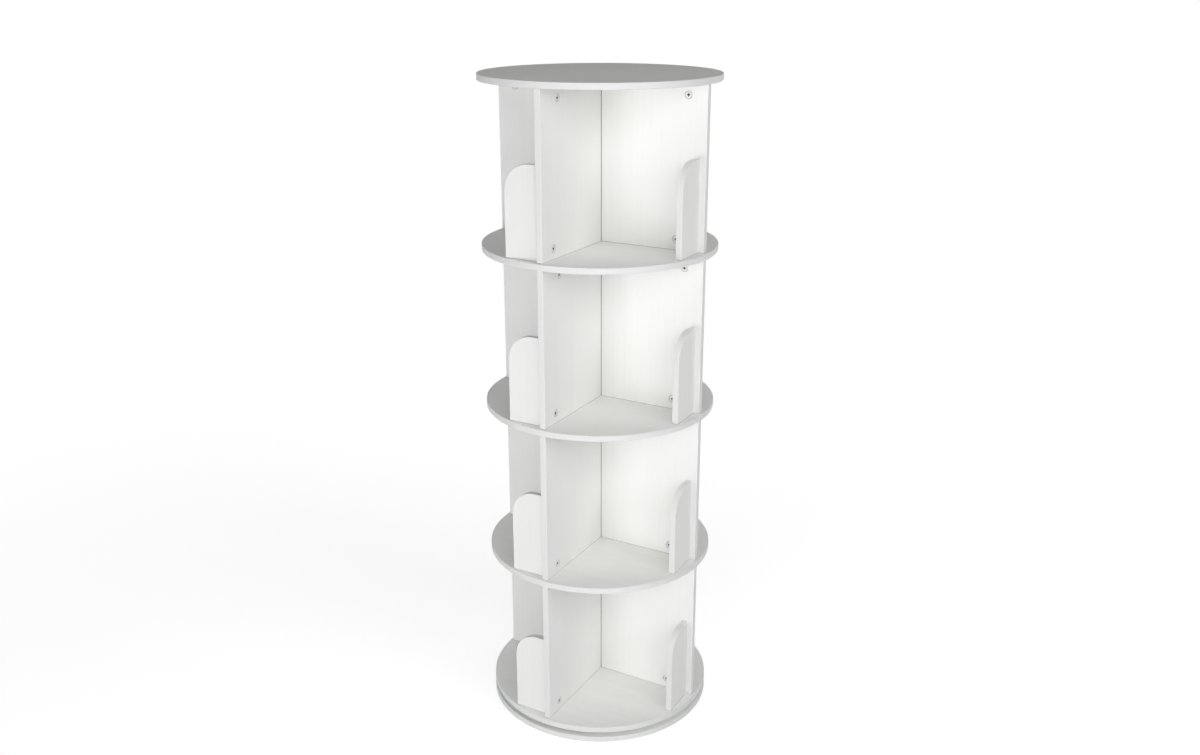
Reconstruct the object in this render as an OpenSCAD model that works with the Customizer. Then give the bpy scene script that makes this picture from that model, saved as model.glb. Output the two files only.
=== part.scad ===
// Revolving bookcase: four open tiers of white board that turn on a ball-bearing base.
// Origin at the centre of the base's underside, +Z up, +X along the wide partitions.

/* [Boards] */
// Diameter of the round boards of the turning case
shelf_d = 450; // [420:2:520]
// Thickness of the round boards of the turning case
board_t = 12; // [12:0.5:18]
// Thickness of the upright partitions
upright_t = 12; // [12:0.5:16]
// Clear height of one tier
tier_h = 300; // [260:2:340]
// Distance from a partition's end to the rim of the boards
rim_gap = 6; // [4:0.5:14]
// Gap between the half partitions and the wide one
butt_gap = 0.8; // [0.2:0.1:0.9]
// Radius of the banded arris round the boards
arris_r = 1; // [0.5:0.25:2]

/* [Fences] */
// Height of a fence
fence_h = 170; // [120:1:220]
// Width of a fence, measured from its partition
fence_w = 72; // [56:1:76]
// Radius of a fence's free top corner
fence_corner_r = 50; // [10:1:54]
// Thickness of a fence
fence_t = 12; // [12:0.5:16]
// Distance from a partition's end to a fence's outer face
fence_in = 11; // [9:0.5:28]

/* [Base] */
// Diameter of the standing base board
base_d = 450; // [400:2:520]
// Thickness of the base board
base_t = 12; // [12:0.5:20]

/* [Turntable] */
// Height of the turntable between the base and the bottom shelf
bearing_h = 10; // [9.5:0.25:14]
// Width of the square race plates
plate_w = 150; // [144:1:190]
// Thickness of the race plates' sheet
plate_t = 1.2; // [0.9:0.1:1.4]
// Radius of the race plates' corners
plate_corner_r = 12; // [6:0.5:16]
// Distance from a race plate's edges to its screws
plate_screw_in = 13; // [9:0.5:15]
// Diameter of the circle of balls
ball_ring_d = 120; // [100:1:126]
// Diameter of a ball
ball_d = 5; // [4:0.25:5.75]
// Number of balls
ball_count = 24; // [12:2:30]
// Depth of the pressed ball groove
groove_depth = 0.75; // [0.5:0.05:0.9]
// Half width of the raised band that carries the groove
band_half_w = 6; // [5:0.25:8]
// Half width of the ball cage
cage_half_w = 5; // [4.25:0.25:6]
// Thickness of the ball cage
cage_t = 1.2; // [0.8:0.1:2]
// Gap between the upper plate's eyelet and the lower plate's inner edge
eyelet_gap = 2; // [1.2:0.1:4]
// Lap of the eyelet's flare under the lower plate
flare_lap = 2; // [1:0.1:3]
// Diameter of the hole in the base that gives access to the upper plate's screws
access_d = 14; // [10:0.5:16]

/* [Fittings] */
// Diameter of a cam lock's pocket
cam_d = 14.5; // [12:0.25:16]
// Play round a cam lock in its pocket
cam_play = 0.25; // [0.1:0.05:0.4]
// Width of the bevel round a cam lock's face
cam_bevel = 0.8; // [0.3:0.1:1.2]
// Depth of a cam lock's face below the partition's face
cam_sink = 0.3; // [0.1:0.1:0.6]
// Length of the arms of a cam lock's cross recess
recess_l = 6; // [5:0.25:8]
// Width of the arms of a cam lock's cross recess
recess_w = 1.8; // [1:0.1:2.4]
// Diameter of the round core of a cam lock's recess
recess_core_d = 4.2; // [3:0.1:4.8]
// Depth of a cam lock's recess
recess_depth = 1.7; // [1:0.1:1.9]
// Distance from a cam lock's centre to the partition's top or bottom edge
cam_edge = 20; // [16:0.5:34]
// Distance from a partition's end to its outer cam locks
cam_out = 38; // [30:0.5:42]
// Distance from a partition's end to its inner cam locks
cam_in = 57; // [52:0.5:70]
// Diameter of a cam bolt's thread
bolt_d = 5; // [4:0.25:6]
// Depth of a cam bolt in a round board
bolt_in = 9; // [6:0.5:10]
// Diameter of a cam bolt's neck
bolt_neck_d = 3.6; // [3:0.1:4.2]
// Diameter of a cam bolt's ball head
bolt_head_d = 6.4; // [5.6:0.1:6.8]
// Diameter of a dowel
dowel_d = 6; // [5:0.25:7]
// Width of the chamfer round a dowel's ends
dowel_chamfer = 0.8; // [0.3:0.1:1.2]
// Depth of a dowel in a partition's edge
dowel_in = 11.5; // [8:0.5:18]
// Depth of a dowel in the blind boards and in the partitions' faces
dowel_blind_in = 8.5; // [6:0.25:9.5]
// Distance from the axis to the dowels between partitions and round boards
dowel_s = 100; // [60:1:125]
// Depth of a cross dowel in a half partition
cross_dowel_in = 14; // [8:0.5:24]
// Distance from a tier's floor and ceiling to its cross dowels
cross_dowel_edge = 75; // [40:1:110]
// Height of a fence's dowel above the shelf
fence_dowel_z = 80; // [40:1:115]
// Diameter of a wood screw's shank
screw_d = 3.6; // [3:0.1:4]
// Diameter of a wood screw's head
screw_head_d = 7.2; // [6.4:0.1:8]
// Length of the arms of a wood screw's cross recess
driver_l = 3.6; // [2.6:0.1:4]
// Width of the arms of a wood screw's cross recess
driver_w = 1.2; // [0.8:0.1:1.6]
// Depth of a wood screw's cross recess
driver_depth = 1.2; // [0.8:0.1:1.5]
// Length of a fence screw
fence_screw_l = 30; // [24:1:45]
// Length of a plate screw's shank
plate_screw_l = 10; // [7:0.5:11]
// Height of a plate screw's head
plate_head_h = 2.4; // [1.8:0.1:2.8]
// Height and width of the sloped edge of a plate screw's head
pan_edge = 1.3; // [0.6:0.1:1.6]

/* [Hidden] */
$fn = 96;
fit = 0.05;         // radial clearance of pins, shanks and balls
relief = 0.5;       // spare depth at the end of a blind hole
run = 1;            // length by which a cut runs clear of a face
slack = 0.4;        // play round the moving pieces of a fitting
tier_count = 4;
tiers = [1 : tier_count];
ends = [0 : 3];     // 0 right, 1 back, 2 left, 3 front
end_names = ["right", "back", "left", "front"];
white = [0.93, 0.93, 0.91];
zinc = [0.78, 0.79, 0.80];
steel = [0.66, 0.67, 0.69];
beech = [0.80, 0.66, 0.46];
nylon = [0.16, 0.16, 0.17];

shelf_r = shelf_d / 2;
reach = shelf_r - rim_gap;
case_z = base_t + bearing_h;
pitch = tier_h + board_t;
function board_z(n) = case_z + n * pitch;
function floor_z(n) = board_z(n - 1) + board_t;
function ceiling_z(n) = board_z(n);

fence_mid = reach - fence_in - fence_t / 2;

head_r = bolt_head_d / 2;
cam_depth = upright_t / 2 + head_r + slack;
cavity_r = head_r + 2 * slack;
head_z = cam_edge - cavity_r + head_r + fit;
function is_wide(q) = q % 2 == 0;
function cam_side(q) = q == 0 ? -1 : 1;
function cam_s(q, top) = reach - (is_wide(q) == top ? cam_out : cam_in);

ball_r = ball_d / 2;
ring_r = ball_ring_d / 2;
groove_r = ball_r + fit;
band_top = bearing_h / 2 - groove_r + groove_depth;
band_low = band_top - plate_t;
bend = plate_t * tan(22.5);   // shift of the sheet's upper face at the bends of the 45 degree slope
slope_foot = ring_r + band_half_w + band_low;
band_inner_r = ring_r - band_half_w;
eyelet_r = band_inner_r - eyelet_gap;
flare_r = band_inner_r + flare_lap;
flare_z = (band_low - plate_t) / 2;
plate_screw_s = plate_w / 2 - plate_screw_in;

// Section of a board of thickness t whose banded edge at x = to has two rounded arrises
module banded_section(from, to, t) {
    translate([from, -t / 2]) square([to - arris_r - from, t]);
    translate([from, arris_r - t / 2]) square([to - from, t - 2 * arris_r]);
    for (y = [-1, 1]) translate([to - arris_r, y * (t / 2 - arris_r)]) circle(arris_r);
}

// A round board that lies on z = 0
module disc(d, t) {
    translate([0, 0, t / 2]) rotate_extrude() banded_section(0, d / 2, t);
}

// Puts a fitting on the top or bottom edge of a partition, with +Z into the partition
module at_edge(n, q, s, top) {
    rotate([0, 0, 90 * q])
        translate([s, 0, top ? ceiling_z(n) : floor_z(n)])
            mirror([0, 0, top ? 1 : 0])
                children();
}

// Puts a cam lock at its place above an edge, with +Z into the face and -Y to the bolt
module at_cam(q) {
    side = cam_side(q);
    translate([0, side * upright_t / 2, cam_edge])
        rotate([side * 90, 0, 0])
            rotate([0, 0, side > 0 ? 0 : 180])
                children();
}

// A wooden dowel with chamfered ends, centred on the origin along Z
module dowel(l) {
    r = dowel_d / 2;
    rotate_extrude()
        polygon([[0, -l / 2], [r - dowel_chamfer, -l / 2], [r, dowel_chamfer - l / 2],
                 [r, l / 2 - dowel_chamfer], [r - dowel_chamfer, l / 2], [0, l / 2]]);
}

module dowel_hole(l) {
    cylinder(d = dowel_d + 2 * fit, h = l, center = true);
}

// Cross recess of a screw, cut down from the origin
module driver_recess() {
    for (a = [0, 90]) rotate([0, 0, a])
        translate([-driver_l / 2, -driver_w / 2, -driver_depth])
            cube([driver_l, driver_w, driver_depth + run]);
}

// Section of a wood screw's shank that runs down from z = 0 to its point
function shank_points(r, l) = [[r, 0], [r, 2 * r - l], [0, -l]];

// A pan-head screw whose head stands on z = 0
module pan_screw() {
    difference() {
        rotate_extrude()
            polygon(concat([[0, plate_head_h], [screw_head_d / 2 - pan_edge, plate_head_h],
                            [screw_head_d / 2, plate_head_h - pan_edge], [screw_head_d / 2, 0]],
                           shank_points(screw_d / 2, plate_screw_l)));
        translate([0, 0, plate_head_h]) driver_recess();
    }
}

// Section of a countersunk screw, head flush with z = 0, grown by a clearance
module flat_screw_section(grow, l) {
    head = screw_head_d / 2 + grow;
    shank = screw_d / 2 + grow;
    polygon(concat([[0, 0], [head, 0], [shank, shank - head]],
                   [for (p = shank_points(shank, l + grow)) if (p[1] < 0) p]));
}

// The four screw places of a race plate
module at_plate_screws() {
    for (x = [-1, 1]) for (y = [-1, 1])
        translate([x * plate_screw_s, y * plate_screw_s, 0]) children();
}

module plate_outline() {
    straight = plate_w - 2 * plate_corner_r;
    square([plate_w, straight], center = true);
    square([straight, plate_w], center = true);
    for (x = [-1, 1]) for (y = [-1, 1])
        translate([x * straight / 2, y * straight / 2]) circle(plate_corner_r);
}

// Pressed section of a race plate: flat foot, slope, raised band with the ball groove
module race_section(inner_r) {
    centre = [ring_r, bearing_h / 2];
    difference() {
        union() {
            polygon([[slope_foot + plate_t, 0], [slope_foot, 0], [slope_foot - band_low, band_low],
                     [inner_r, band_low], [inner_r, band_top],
                     [slope_foot - band_low + bend, band_top], [slope_foot + bend, plate_t],
                     [slope_foot + plate_t, plate_t]]);
            intersection() {
                translate(centre) circle(groove_r + plate_t);
                translate([inner_r, 0]) square([2 * (ring_r - inner_r), band_top]);
            }
        }
        translate(centre) circle(groove_r);
    }
}

// A square race plate that lies on z = 0 with its groove facing up
module race_plate(inner_r) {
    rotate_extrude() race_section(inner_r);
    linear_extrude(plate_t) difference() {
        plate_outline();
        circle(slope_foot + plate_t / 2);
        for (x = [-1, 1]) for (y = [-1, 1])
            translate([x * plate_screw_s, y * plate_screw_s]) circle(screw_d / 2 + slack);
    }
}

// The lower plate's corners point between those of the upper plate
module lower_turn() {
    translate([0, 0, base_t]) rotate([0, 0, 45]) children();
}

module upper_turn() {
    translate([0, 0, case_z]) mirror([0, 0, 1]) children();
}

module plate_pilots() {
    at_plate_screws()
        translate([0, 0, -plate_screw_l - fit])
            cylinder(d = screw_d + 2 * fit, h = plate_screw_l + fit + run);
}

module base_board() {
    color(white) difference() {
        disc(base_d, base_t);
        lower_turn() plate_pilots();
        translate([plate_screw_s, -plate_screw_s, -run]) cylinder(d = access_d, h = base_t + 2 * run);
    }
}

module lower_race() {
    color(steel) lower_turn() race_plate(band_inner_r);
}

module lower_race_screws() {
    color(zinc) lower_turn() at_plate_screws() translate([0, 0, plate_t]) pan_screw();
}

// The upper plate's inner edge is drawn through the lower plate and flared out below it
module upper_race() {
    color(steel) upper_turn() {
        race_plate(eyelet_r);
        rotate_extrude() {
            translate([eyelet_r - plate_t, band_low])
                square([plate_t, bearing_h - flare_z - band_low]);
            translate([eyelet_r - plate_t, bearing_h - flare_z - plate_t])
                square([flare_r - eyelet_r + plate_t, plate_t]);
        }
    }
}

module upper_race_screws() {
    color(zinc) upper_turn() at_plate_screws() translate([0, 0, plate_t]) pan_screw();
}

module at_balls() {
    for (i = [0 : ball_count - 1])
        rotate([0, 0, 360 * i / ball_count])
            translate([ring_r, 0, base_t + bearing_h / 2])
                children();
}

module ball_cage() {
    color(nylon) difference() {
        translate([0, 0, base_t + (bearing_h - cage_t) / 2]) difference() {
            cylinder(r = ring_r + cage_half_w, h = cage_t);
            translate([0, 0, -run]) cylinder(r = ring_r - cage_half_w, h = cage_t + 2 * run);
        }
        at_balls() cylinder(r = ball_r + fit, h = cage_t + 2 * run, center = true);
    }
}

module bearing_balls() {
    color(steel) at_balls() sphere(ball_r, $fn = 48);
}

// Holes that the partitions of the tier above or below need in a round board
module bolt_holes(n, top) {
    for (q = ends) at_edge(n, q, cam_s(q, top), top)
        translate([0, 0, -bolt_in - relief]) cylinder(d = bolt_d + 2 * fit, h = bolt_in + relief + run);
}

module blind_dowel_holes(n, top) {
    for (q = ends) at_edge(n, q, dowel_s, top)
        translate([0, 0, -dowel_blind_in - relief])
            cylinder(d = dowel_d + 2 * fit, h = dowel_blind_in + relief + run);
}

module through_dowel_holes(n) {
    for (q = ends) at_edge(n, q, dowel_s, false)
        translate([0, 0, -board_t / 2]) dowel_hole(board_t + 2 * run);
}

// Place of a fence's screw, on the underside of its shelf with +Z down
module at_fence_screw(n, q) {
    rotate([0, 0, 90 * q])
        translate([fence_mid, -(upright_t + fence_w) / 2, floor_z(n) - board_t])
            mirror([0, 0, 1])
                children();
}

module fence_screw_holes(n) {
    for (q = ends) at_fence_screw(n, q) rotate_extrude() flat_screw_section(fit, fence_screw_l);
}

module bottom_shelf() {
    color(white) difference() {
        translate([0, 0, board_z(0)]) disc(shelf_d, board_t);
        bolt_holes(1, false);
        blind_dowel_holes(1, false);
        fence_screw_holes(1);
        upper_turn() plate_pilots();
    }
}

// A middle shelf is the floor of tier n and the ceiling of the tier below
module middle_shelf(n) {
    color(white) difference() {
        translate([0, 0, board_z(n - 1)]) disc(shelf_d, board_t);
        bolt_holes(n, false);
        bolt_holes(n - 1, true);
        through_dowel_holes(n);
        fence_screw_holes(n);
    }
}

module top_board() {
    color(white) difference() {
        translate([0, 0, board_z(tier_count)]) disc(shelf_d, board_t);
        bolt_holes(tier_count, true);
        blind_dowel_holes(tier_count, true);
    }
}

// Pockets and edge holes at one end of a partition
module end_drilling(n, q) {
    for (top = [false, true]) {
        at_edge(n, q, cam_s(q, top), top) {
            translate([0, 0, -run]) cylinder(d = bolt_head_d + slack, h = cam_edge + run);
            at_cam(q) translate([0, 0, -run]) cylinder(d = cam_d, h = cam_depth + run);
        }
        at_edge(n, q, dowel_s, top) dowel_hole(2 * (dowel_in + relief));
    }
    at_fence_dowel(n, q)
        translate([0, 0, (relief + dowel_blind_in - run) / 2])
            dowel_hole(dowel_blind_in + relief + run);
}

// Place of a fence's dowel, on the partition's face with +Z into the partition
module at_fence_dowel(n, q) {
    rotate([0, 0, 90 * q])
        translate([fence_mid, -upright_t / 2, floor_z(n) + fence_dowel_z])
            rotate([-90, 0, 0])
                children();
}

module at_cross_dowels(n) {
    for (z = [floor_z(n) + cross_dowel_edge, ceiling_z(n) - cross_dowel_edge])
        translate([0, 0, z]) rotate([90, 0, 0]) children();
}

module wide_partition(n) {
    color(white) difference() {
        translate([0, 0, floor_z(n)]) linear_extrude(tier_h) {
            banded_section(0, reach, upright_t);
            rotate([0, 0, 180]) banded_section(0, reach, upright_t);
        }
        for (q = [0, 2]) end_drilling(n, q);
        at_cross_dowels(n) dowel_hole(upright_t + 2 * run);
    }
}

module half_partition(n, q) {
    color(white) difference() {
        translate([0, 0, floor_z(n)])
            rotate([0, 0, 90 * q])
                linear_extrude(tier_h) banded_section(upright_t / 2 + butt_gap, reach, upright_t);
        end_drilling(n, q);
        at_cross_dowels(n) dowel_hole(upright_t + 2 * (cross_dowel_in + relief));
    }
}

// A fence drawn flat, x from the partition and y up from the shelf: its banded edge
// runs up the free side, round the corner and along the top
module fence_board() {
    side_l = fence_h - fence_corner_r;
    top_l = fence_w - fence_corner_r;
    rotate([-90, 0, 0]) linear_extrude(side_l) banded_section(0, fence_w, fence_t);
    translate([top_l, side_l, 0])
        rotate_extrude(angle = 90) banded_section(0, fence_corner_r, fence_t);
    translate([0, side_l, 0])
        rotate([90, 0, 90]) linear_extrude(top_l) banded_section(0, fence_corner_r, fence_t);
}

// A fence stands on the shelf with one edge on the partition's face
module fence(n, q) {
    color(white) difference() {
        rotate([0, 0, 90 * q])
            translate([fence_mid, -upright_t / 2, floor_z(n)])
                rotate([90, 0, -90])
                    fence_board();
        at_fence_dowel(n, q) dowel_hole(2 * (dowel_in + relief));
        at_fence_screw(n, q) rotate_extrude() flat_screw_section(fit, fence_screw_l);
    }
}

// A cam lock: capped disc with a round-cored cross recess, a cavity for the bolt's head,
// a slot for its neck and a mouth where the head goes in
module cam_lock() {
    cavity_z = upright_t / 2 - head_r - slack;
    neck_w = bolt_neck_d + 2 * slack;
    neck_z = upright_t / 2 - neck_w / 2;
    mouth_w = bolt_head_d + slack;
    rim_r = cam_d / 2 - cam_play;
    difference() {
        rotate_extrude()
            polygon([[0, cam_sink], [rim_r - cam_bevel, cam_sink], [rim_r, cam_sink + cam_bevel],
                     [rim_r, cam_depth], [0, cam_depth]]);
        for (a = [0, 90]) rotate([0, 0, a])
            translate([-recess_l / 2, -recess_w / 2, -run])
                cube([recess_l, recess_w, cam_sink + recess_depth + run]);
        translate([0, 0, -run]) cylinder(d = recess_core_d, h = cam_sink + recess_depth + run);
        translate([0, 0, cavity_z]) cylinder(r = cavity_r, h = cam_depth);
        translate([-neck_w / 2, -cam_d, neck_z]) cube([neck_w, cam_d, cam_depth]);
        translate([0, -mouth_w / 2, cavity_z]) cube([cam_d, mouth_w, cam_depth]);
    }
}

module cam_locks() {
    color(zinc) for (n = tiers) for (q = ends) for (top = [false, true])
        at_edge(n, q, cam_s(q, top), top) at_cam(q) cam_lock();
}

// A cam bolt: threaded root in the round board, neck and ball head in the partition
module cam_bolt() {
    rotate_extrude()
        polygon([[0, -bolt_in], [bolt_d / 2 - slack, -bolt_in], [bolt_d / 2, slack - bolt_in],
                 [bolt_d / 2, 0], [bolt_neck_d / 2, slack], [bolt_neck_d / 2, head_z], [0, head_z]]);
    translate([0, 0, head_z]) sphere(head_r, $fn = 48);
}

module cam_bolts() {
    color(zinc) for (n = tiers) for (q = ends) for (top = [false, true])
        at_edge(n, q, cam_s(q, top), top) cam_bolt();
}

module shelf_dowels() {
    color(beech) for (n = [2 : tier_count]) for (q = ends)
        at_edge(n, q, dowel_s, false)
            translate([0, 0, -board_t / 2]) dowel(board_t + 2 * dowel_in);
}

module end_dowels() {
    color(beech) for (q = ends) {
        at_edge(1, q, dowel_s, false)
            translate([0, 0, (dowel_in - dowel_blind_in) / 2]) dowel(dowel_in + dowel_blind_in);
        at_edge(tier_count, q, dowel_s, true)
            translate([0, 0, (dowel_in - dowel_blind_in) / 2]) dowel(dowel_in + dowel_blind_in);
    }
}

module cross_dowels() {
    color(beech) for (n = tiers) at_cross_dowels(n) dowel(upright_t + 2 * cross_dowel_in);
}

module fence_dowels() {
    color(beech) for (n = tiers) for (q = ends)
        at_fence_dowel(n, q)
            translate([0, 0, (dowel_blind_in - dowel_in) / 2]) dowel(dowel_in + dowel_blind_in);
}

module fence_screws() {
    color(zinc) for (n = tiers) for (q = ends)
        at_fence_screw(n, q) difference() {
            rotate_extrude() flat_screw_section(0, fence_screw_l);
            driver_recess();
        }
}

base_board();
lower_race();
lower_race_screws();
ball_cage();
bearing_balls();
upper_race();
upper_race_screws();
bottom_shelf();
top_board();
for (n = [2 : tier_count]) {
    middle_shelf(n);
}
for (n = tiers) {
    wide_partition(n);
    half_partition(n, 3);
    half_partition(n, 1);
    for (q = ends) {
        fence(n, q);
    }
}
cam_locks();
cam_bolts();
shelf_dowels();
end_dowels();
cross_dowels();
fence_dowels();
fence_screws();
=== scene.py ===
import math

import bpy
import numpy as np
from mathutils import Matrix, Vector

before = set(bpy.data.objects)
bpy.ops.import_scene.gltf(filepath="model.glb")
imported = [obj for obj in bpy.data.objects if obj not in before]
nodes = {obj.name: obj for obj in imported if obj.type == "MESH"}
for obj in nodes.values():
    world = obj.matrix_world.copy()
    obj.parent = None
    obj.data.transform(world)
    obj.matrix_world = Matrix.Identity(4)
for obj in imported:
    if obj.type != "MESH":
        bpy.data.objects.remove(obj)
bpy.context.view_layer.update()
print("bookcase frame:", len(nodes), "nodes")

# Levels of the boards in metres, as the construction has them
levels = {
    "firstFloor": 0.034,   # top of the bottom shelf
    "tierHeight": 0.300,   # clear height of one tier
    "tierPitch": 0.312,    # from one shelf to the next
    "halfBoard": 0.006,    # half the thickness of an upright
}

# Where the values of a noise mostly lie, and the same with less of its low end
noiseSpan = (0.30, 0.70)
upperSpan = (0.35, 0.70)


# Small helpers for node trees: a value is a number or an output socket
def startFinish(name):
    finish = bpy.data.materials.new(name)
    finish.use_nodes = True
    tree = finish.node_tree
    shader = next(n for n in tree.nodes if n.type == "BSDF_PRINCIPLED")
    return finish, tree, shader


def plug(tree, value, socket):
    if isinstance(value, bpy.types.NodeSocket):
        tree.links.new(value, socket)
    else:
        socket.default_value = value


def calc(tree, how, a, b=0.0, c=0.0):
    node = tree.nodes.new("ShaderNodeMath")
    node.operation = how
    for value, socket in zip((a, b, c), node.inputs):
        plug(tree, value, socket)
    return node.outputs[0]


def ease(tree, value, low, high, toLow=0.0, toHigh=1.0):
    node = tree.nodes.new("ShaderNodeMapRange")
    node.interpolation_type = "SMOOTHSTEP"
    plug(tree, value, node.inputs["Value"])
    node.inputs["From Min"].default_value = low
    node.inputs["From Max"].default_value = high
    node.inputs["To Min"].default_value = toLow
    node.inputs["To Max"].default_value = toHigh
    return node.outputs["Result"]


def blendColour(tree, share, first, second):
    node = tree.nodes.new("ShaderNodeMix")
    node.data_type = "RGBA"
    plug(tree, share, node.inputs[0])
    for value, socket in ((first, node.inputs[6]), (second, node.inputs[7])):   # the two colour inputs
        plug(tree, value if isinstance(value, bpy.types.NodeSocket) else (*value, 1.0), socket)
    return node.outputs[2]


def objectCoords(tree):
    return tree.nodes.new("ShaderNodeTexCoord").outputs["Object"]


def splitVector(tree, socket):
    node = tree.nodes.new("ShaderNodeSeparateXYZ")
    tree.links.new(socket, node.inputs[0])
    return node.outputs


def grainNoise(tree, coords, scale, detail=3.0, roughness=0.55):
    stretch = tree.nodes.new("ShaderNodeMapping")
    stretch.inputs["Scale"].default_value = scale
    tree.links.new(coords, stretch.inputs["Vector"])
    noise = tree.nodes.new("ShaderNodeTexNoise")
    noise.inputs["Scale"].default_value = 1.0
    noise.inputs["Detail"].default_value = detail
    noise.inputs["Roughness"].default_value = roughness
    tree.links.new(stretch.outputs[0], noise.inputs["Vector"])
    return noise.outputs["Fac"]


def bumpFrom(tree, shader, height, strength, depth):
    bump = tree.nodes.new("ShaderNodeBump")
    bump.inputs["Strength"].default_value = strength
    bump.inputs["Distance"].default_value = depth
    tree.links.new(height, bump.inputs["Height"])
    tree.links.new(bump.outputs[0], shader.inputs["Normal"])


# One for what the lens sees, straight on or in something shiny or clear, and zero for the light itself
def seenByLens(tree):
    path = tree.nodes.new("ShaderNodeLightPath")
    indirect = calc(tree, "MAXIMUM", path.outputs["Is Glossy Ray"], path.outputs["Is Transmission Ray"])
    return calc(tree, "MAXIMUM", path.outputs["Is Camera Ray"], indirect)


# White faced board: pressed paper with a faint grain, smoother edge bands, and painted shade lines at
# the joints
whiteBoard = {
    "paper": (0.888, 0.891, 0.876),
    "paperShade": (0.862, 0.864, 0.848),
    "shelfPaper": (0.916, 0.919, 0.903),
    "shelfShade": (0.872, 0.874, 0.858),
    "band": (0.790, 0.793, 0.790),
    "rim": (0.785, 0.789, 0.787),
    # painted shade where an upright meets a shelf
    "paintedShelfShade": (0.36, 0.355, 0.345),
    # painted shade in the corner where a half upright butts the wide one
    "paintedCornerShade": (0.10, 0.098, 0.095),
    "streakWidth": 0.007,
    "streakLength": 0.45,
    "streakNoise": (2.5, 0.6),    # detail and roughness of the noise
    "streakTone": 0.62,           # share of the shade that the streaks give
    "streakHeight": 0.4,
    "poreWidth": 0.0009,
    "poreLength": 0.016,
    "poreNoise": (2.0, 0.5),
    "poreTone": 0.38,
    "poreHeight": 0.6,
    "poreRoughness": 0.06,        # added in the pores
    "cloudScale": (9, 9, 9),      # slow change of the sheen over a board
    "cloudNoise": (2.0, 0.5),
    "cloudRoughness": (0.56, 0.63),
    "edgeTurn": (0.85, 0.55),     # how far a surface turns from the face before it counts as edge
    "bandRoughness": 0.50,
    # width of the painted shade lines at the joints
    "shadeLineWidth": 0.0009,
    "shadeLineCore": 0.4,             # share of the painted shade line's width that is fully dark
    "gloss": 0.35,
    "bump": (0.25, 0.00025),      # strength and depth
}


def boardFinish(name, faceAxis, grainAxis, jointKind):
    finish, tree, shader = startFinish(name)
    coords = tree.nodes.new("ShaderNodeTexCoord")
    place = coords.outputs["Object"]
    x, y, z = splitVector(tree, place)

    def stretched(kind):
        return [1 / whiteBoard[kind + ("Length" if k == grainAxis else "Width")] for k in range(3)]

    streaks = grainNoise(tree, place, stretched("streak"), *whiteBoard["streakNoise"])
    pores = grainNoise(tree, place, stretched("pore"), *whiteBoard["poreNoise"])
    cloud = grainNoise(tree, place, whiteBoard["cloudScale"], *whiteBoard["cloudNoise"])
    tone = calc(tree, "ADD", ease(tree, streaks, *noiseSpan, 0.0, whiteBoard["streakTone"]),
                ease(tree, pores, *upperSpan, 0.0, whiteBoard["poreTone"]))
    paper = whiteBoard["paper" if jointKind else "shelfPaper"]
    shade = whiteBoard["paperShade" if jointKind else "shelfShade"]
    colour = blendColour(tree, tone, paper, shade)
    # the edge bands are the faces turned away from the board's own two faces
    turned = calc(tree, "ABSOLUTE", splitVector(tree, coords.outputs["Normal"])[faceAxis])
    edge = ease(tree, turned, *whiteBoard["edgeTurn"])
    face = calc(tree, "SUBTRACT", 1.0, edge)
    colour = blendColour(tree, edge, colour, whiteBoard["band" if jointKind else "rim"])
    width = whiteBoard["shadeLineWidth"]
    core = whiteBoard["shadeLineCore"] * width
    if jointKind:
        # painted shadow lines where an upright meets the floor and the ceiling of its tier
        tier = calc(tree, "WRAP", z, levels["firstFloor"] + levels["tierPitch"], levels["firstFloor"])
        fromFloor = calc(tree, "SUBTRACT", tier, levels["firstFloor"])
        fromCeiling = calc(tree, "SUBTRACT", levels["firstFloor"] + levels["tierHeight"], tier)
        paintedShelfShadeLine = ease(tree, calc(tree, "MINIMUM", fromFloor, fromCeiling), width, core)
        colour = blendColour(tree, paintedShelfShadeLine, colour, whiteBoard["paintedShelfShade"])
    if jointKind in ("butted", "crossed"):
        # and a darker painted shadow line in the corner between a half upright and the wide one, over
        # the real narrow gap there
        inward = calc(tree, "ABSOLUTE", y if jointKind == "butted" else x)
        paintedCornerShadeLine = ease(tree, calc(tree, "SUBTRACT", inward, levels["halfBoard"]), width, core)
        colour = blendColour(tree, paintedCornerShadeLine, colour, whiteBoard["paintedCornerShade"])
    tree.links.new(colour, shader.inputs["Base Color"])
    faceRoughness = calc(tree, "ADD", ease(tree, cloud, *noiseSpan, *whiteBoard["cloudRoughness"]),
                         ease(tree, pores, *noiseSpan, 0.0, whiteBoard["poreRoughness"]))
    roughness = calc(tree, "ADD", calc(tree, "MULTIPLY", faceRoughness, face),
                     calc(tree, "MULTIPLY", edge, whiteBoard["bandRoughness"]))
    tree.links.new(roughness, shader.inputs["Roughness"])
    shader.inputs["Specular IOR Level"].default_value = whiteBoard["gloss"]
    relief = calc(tree, "ADD", calc(tree, "MULTIPLY", pores, whiteBoard["poreHeight"]),
                  calc(tree, "MULTIPLY", streaks, whiteBoard["streakHeight"]))
    bumpFrom(tree, shader, calc(tree, "MULTIPLY", relief, face), *whiteBoard["bump"])
    return finish


# the axis across each board's faces, the axis of its grain (0 to 2 for x, y, z) and its joints
roundFinish = boardFinish("white_board_round", 2, 0, None)
wideFinish = boardFinish("white_board_wide", 1, 2, "crossed")
halfFinish = boardFinish("white_board_half", 0, 2, "butted")
sideFenceFinish = boardFinish("white_fence_side", 0, 2, "shelved")
frontFenceFinish = boardFinish("white_fence_front", 1, 2, "shelved")
print("board finishes made")


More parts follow.
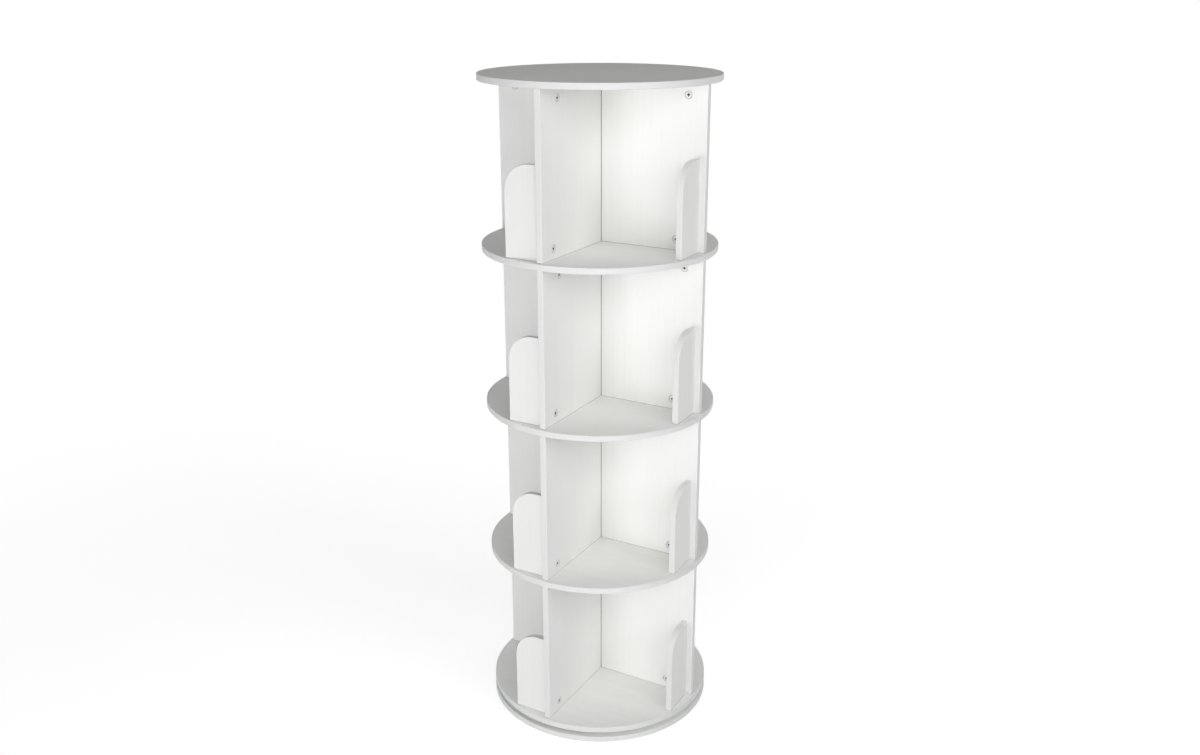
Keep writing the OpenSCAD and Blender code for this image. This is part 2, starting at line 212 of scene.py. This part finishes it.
# Bare metal: a bright and a dull tone in fine speckles, with the roughness and a slight bump from them
def metalFinish(name, look):
    finish, tree, shader = startFinish(name)
    place = objectCoords(tree)
    speckle = grainNoise(tree, place, look["grain"], *look["noise"])
    colour = blendColour(tree, ease(tree, speckle, *upperSpan), look["bright"], look["dull"])
    tree.links.new(colour, shader.inputs["Base Color"])
    tree.links.new(ease(tree, speckle, *noiseSpan, *look["roughness"]), shader.inputs["Roughness"])
    shader.inputs["Metallic"].default_value = look["metallic"]
    bumpFrom(tree, shader, speckle, *look["bump"])
    return finish, tree, shader, place, colour


camLock = {
    "bright": (0.86, 0.86, 0.855),
    "dull": (0.74, 0.74, 0.735),
    # painted shade colour for the driver recess
    "recess": (0.045, 0.045, 0.048),
    "recessDepth": (0.0056, 0.0049),   # distance from the middle of the upright where the painted shade in the recess begins
    "roughness": (0.45, 0.60),
    "metallic": 0.4,
    "grain": (700, 700, 700),
    "noise": (4.0, 0.6),
    "bump": (0.15, 0.00015),
}
camFinish, tree, shader, place, colour = metalFinish("cam_zinc", camLock)
# the driver recess lies below the upright's face, and its dark colour is painted shade over the real
# recess
x, y = splitVector(tree, place)[:2]
below = calc(tree, "MINIMUM", calc(tree, "ABSOLUTE", x), calc(tree, "ABSOLUTE", y))
paintedRecessShade = ease(tree, below, *camLock["recessDepth"])
tree.links.new(blendColour(tree, paintedRecessShade, colour, camLock["recess"]), shader.inputs["Base Color"])

zincScrew = {
    "bright": (0.70, 0.71, 0.72),
    "dull": (0.50, 0.51, 0.52),
    "roughness": (0.28, 0.45),
    "metallic": 1.0,
    "grain": (900, 900, 900),
    "noise": (4.0, 0.6),
    "bump": (0.15, 0.00015),
}
screwFinish = metalFinish("screw_zinc", zincScrew)[0]

racePlate = {
    "bright": (0.56, 0.56, 0.55),
    "dull": (0.38, 0.38, 0.375),
    "roughness": (0.32, 0.50),
    "metallic": 1.0,
    "grain": (60, 900, 900),   # rolled along x
    "noise": (4.0, 0.6),
    "bump": (0.15, 0.00015),
}
raceFinish = metalFinish("race_plate_steel", racePlate)[0]

bearingBall = {
    "bright": (0.74, 0.75, 0.77),
    "dull": (0.74, 0.75, 0.77),
    "roughness": (0.08, 0.16),
    "metallic": 1.0,
    "grain": (1500, 1500, 1500),
    "noise": (4.0, 0.6),
    "bump": (0.15, 0.00015),
}
ballFinish = metalFinish("ball_steel", bearingBall)[0]


# Nylon and beech: two tones blended by one noise, which also gives the roughness and the bump
def mattFinish(name, look):
    finish, tree, shader = startFinish(name)
    grain = grainNoise(tree, objectCoords(tree), look["grain"])
    tree.links.new(blendColour(tree, grain, look["colour"], look["second"]), shader.inputs["Base Color"])
    tree.links.new(ease(tree, grain, *noiseSpan, *look["roughness"]), shader.inputs["Roughness"])
    bumpFrom(tree, shader, grain, *look["bump"])
    return finish


ballCage = {
    "colour": (0.045, 0.046, 0.05),
    "second": (0.075, 0.076, 0.08),
    "roughness": (0.45, 0.60),
    "grain": (800, 800, 800),
    "bump": (0.2, 0.0001),
}
cageFinish = mattFinish("cage_nylon", ballCage)

beechDowel = {
    "colour": (0.60, 0.42, 0.23),
    "second": (0.44, 0.28, 0.14),
    "roughness": (0.55, 0.70),
    "grain": (900, 900, 60),   # fibres along z
    "bump": (0.2, 0.0002),
}
dowelFinish = mattFinish("dowel_beech", beechDowel)
print("fitting finishes made")

# Which finish each node takes, by the start of its name
finishes = (
    ("wide_partition", wideFinish),
    ("front_partition", halfFinish),
    ("back_partition", halfFinish),
    ("fence_right", sideFenceFinish),
    ("fence_left", sideFenceFinish),
    ("fence_front", frontFenceFinish),
    ("fence_back", frontFenceFinish),
    ("fence_screws", screwFinish),
    ("fence_dowels", dowelFinish),
    ("cam_locks", camFinish),
    ("cam_bolts", screwFinish),
    ("lower_race_screws", screwFinish),
    ("upper_race_screws", screwFinish),
    ("lower_race", raceFinish),
    ("upper_race", raceFinish),
    ("bearing_balls", ballFinish),
    ("ball_cage", cageFinish),
    ("shelf_dowels", dowelFinish),
    ("end_dowels", dowelFinish),
    ("cross_dowels", dowelFinish),
    ("base_board", roundFinish),
    ("bottom_shelf", roundFinish),
    ("shelf_", roundFinish),
    ("top_board", roundFinish),
)
for name, piece in nodes.items():
    finish = next(f for start, f in finishes if name.startswith(start))
    slots = piece.data.materials
    if not slots:
        slots.append(finish)
    for k in range(len(slots)):
        slots[k] = finish
print("finishes assigned")

# Floor: a flat round sheet, radius by angle, that fades into the white backdrop away from the case
floorSheet = {
    "radius": 30.0,
    "rings": 24,
    "spokes": 96,
    "below": 0.0002,        # under the base board
    "colour": (0.86, 0.86, 0.86),
    "roughness": 0.9,
    "gloss": 0.1,
    "fade": (0.5, 2.4),     # distances between which the paint turns to plain white
    "lift": 0.51,           # white added to the paint where the lens sees it
}
radii = np.linspace(0, 1, floorSheet["rings"]) ** 2 * floorSheet["radius"]
turns = np.linspace(0, 2 * np.pi, floorSheet["spokes"], endpoint=False)
ring, spoke = np.meshgrid(radii[1:], turns, indexing="ij")
level = np.full_like(ring, -floorSheet["below"])
points = np.stack([ring * np.cos(spoke), ring * np.sin(spoke), level], -1).reshape(-1, 3)
points = np.vstack([points, [[0, 0, -floorSheet["below"]]]])
count = floorSheet["spokes"]
r, s = np.meshgrid(np.arange(floorSheet["rings"] - 2), np.arange(count), indexing="ij")
t = (s + 1) % count   # the next spoke
quads = np.stack([r * count + s, (r + 1) * count + s, (r + 1) * count + t, r * count + t], -1)
middle = np.full(count, len(points) - 1)
fan = np.stack([middle, np.arange(count), (np.arange(count) + 1) % count], -1)
sheet = bpy.data.meshes.new("floor")
sheet.from_pydata(points.tolist(), [], quads.reshape(-1, 4).tolist() + fan.tolist())
floor = bpy.data.objects.new("floor", sheet)
bpy.context.scene.collection.objects.link(floor)
floorFinish, tree, shader = startFinish("floor_paint")
shader.inputs["Base Color"].default_value = (*floorSheet["colour"], 1)
shader.inputs["Roughness"].default_value = floorSheet["roughness"]
shader.inputs["Specular IOR Level"].default_value = floorSheet["gloss"]
x, y = splitVector(tree, objectCoords(tree))[:2]
away = calc(tree, "SQRT", calc(tree, "ADD", calc(tree, "MULTIPLY", x, x), calc(tree, "MULTIPLY", y, y)))
fade = ease(tree, away, *floorSheet["fade"])
seen = seenByLens(tree)
glow = tree.nodes.new("ShaderNodeEmission")
glow.inputs["Strength"].default_value = 1.0
lift = tree.nodes.new("ShaderNodeEmission")
tree.links.new(calc(tree, "MULTIPLY", seen, floorSheet["lift"]), lift.inputs["Strength"])
near = tree.nodes.new("ShaderNodeAddShader")
tree.links.new(shader.outputs[0], near.inputs[0])
tree.links.new(lift.outputs[0], near.inputs[1])
mix = tree.nodes.new("ShaderNodeMixShader")
tree.links.new(calc(tree, "MULTIPLY", fade, seen), mix.inputs[0])
tree.links.new(near.outputs[0], mix.inputs[1])
tree.links.new(glow.outputs[0], mix.inputs[2])
surface = next(n for n in tree.nodes if n.type == "OUTPUT_MATERIAL")
tree.links.new(mix.outputs[0], surface.inputs["Surface"])
sheet.materials.append(floorFinish)
print("floor laid")

# Studio: four soft lamps in front, two behind, and a little light from overhead
studio = {
    "surround": 0.03,
    "overhead": 0.29,
    "overheadFrom": (0.5, 0.8),    # heights of the sky between which it grows
    "zenith": 0.10,                # what the lens and shiny pieces see straight above
    "zenithFrom": (0.35, 0.8),
    "lamps": {   # power, size, place and aim of each lamp
        "key": (41.0, 2.6, (1.75, -2.90, 1.75), (0.0, 0.0, 0.55)),
        "front": (15.5, 1.8, (-0.28, -3.19, 0.95), (0.0, 0.0, 0.60)),
        "low": (14.5, 0.86, (-0.39, -2.77, 0.45), (0.0, 0.0, 0.40)),
        "right": (36.5, 2.0, (3.20, -0.85, 2.15), (0.0, 0.0, 0.60)),
        "back": (86.0, 1.7, (-2.60, 3.30, 0.90), (0.0, 0.0, 0.62)),
        "side": (17.0, 1.7, (1.30, 3.20, 0.90), (0.0, 0.0, 0.62)),
    },
}
world = bpy.data.worlds.new("studio")
bpy.context.scene.world = world
world.use_nodes = True
tree = world.node_tree
tree.nodes.clear()
direction = tree.nodes.new("ShaderNodeTexCoord").outputs["Generated"]
height = splitVector(tree, direction)[2]
dome = ease(tree, height, *studio["overheadFrom"], studio["surround"], studio["overhead"])
ambient = tree.nodes.new("ShaderNodeBackground")
tree.links.new(dome, ambient.inputs["Strength"])
white = ease(tree, height, *studio["zenithFrom"], 1.0, studio["zenith"])
backdrop = tree.nodes.new("ShaderNodeBackground")
tree.links.new(white, backdrop.inputs["Strength"])
for node in (ambient, backdrop):
    node.inputs["Color"].default_value = (1, 1, 1, 1)
mix = tree.nodes.new("ShaderNodeMixShader")
tree.links.new(seenByLens(tree), mix.inputs[0])
tree.links.new(ambient.outputs[0], mix.inputs[1])
tree.links.new(backdrop.outputs[0], mix.inputs[2])
sky = tree.nodes.new("ShaderNodeOutputWorld")
tree.links.new(mix.outputs[0], sky.inputs["Surface"])


def aimAt(thing, place, target):
    line = Vector(target) - Vector(place)
    thing.location = place
    thing.rotation_mode = "QUATERNION"
    thing.rotation_quaternion = line.to_track_quat("-Z", "Y")


for name, (power, size, place, target) in studio["lamps"].items():
    lamp = bpy.data.lights.new(name, "AREA")
    lamp.shape = "SQUARE"
    lamp.size = size
    lamp.energy = power
    holder = bpy.data.objects.new(name, lamp)
    bpy.context.scene.collection.objects.link(holder)
    holder.visible_glossy = name == "key"   # the other lamps leave no shine
    aimAt(holder, place, target)
print("studio lit")

# Camera: the photograph's side and height, with the lens straight on
shot = {
    "azimuth": 29.0,        # degrees from the front towards the right
    "distance": 2.2,
    "height": 1.452,
    "pitch": 19.04,         # degrees downwards
    "focal": 1172.0,        # in pixels of the image width
    "imageWidth": 1200.0,
    "sensor": 36.0,
}
lens = bpy.data.cameras.new("camera")
lens.sensor_width = shot["sensor"]
lens.lens = shot["focal"] / shot["imageWidth"] * shot["sensor"]
camera = bpy.data.objects.new("camera", lens)
bpy.context.scene.collection.objects.link(camera)
bpy.context.scene.camera = camera
side = math.radians(shot["azimuth"])
eye = (shot["distance"] * math.sin(side), -shot["distance"] * math.cos(side), shot["height"])
drop = shot["distance"] * math.tan(math.radians(shot["pitch"]))
aimAt(camera, eye, (0, 0, shot["height"] - drop))
bpy.context.scene.view_settings.view_transform = "Standard"
print("camera placed")
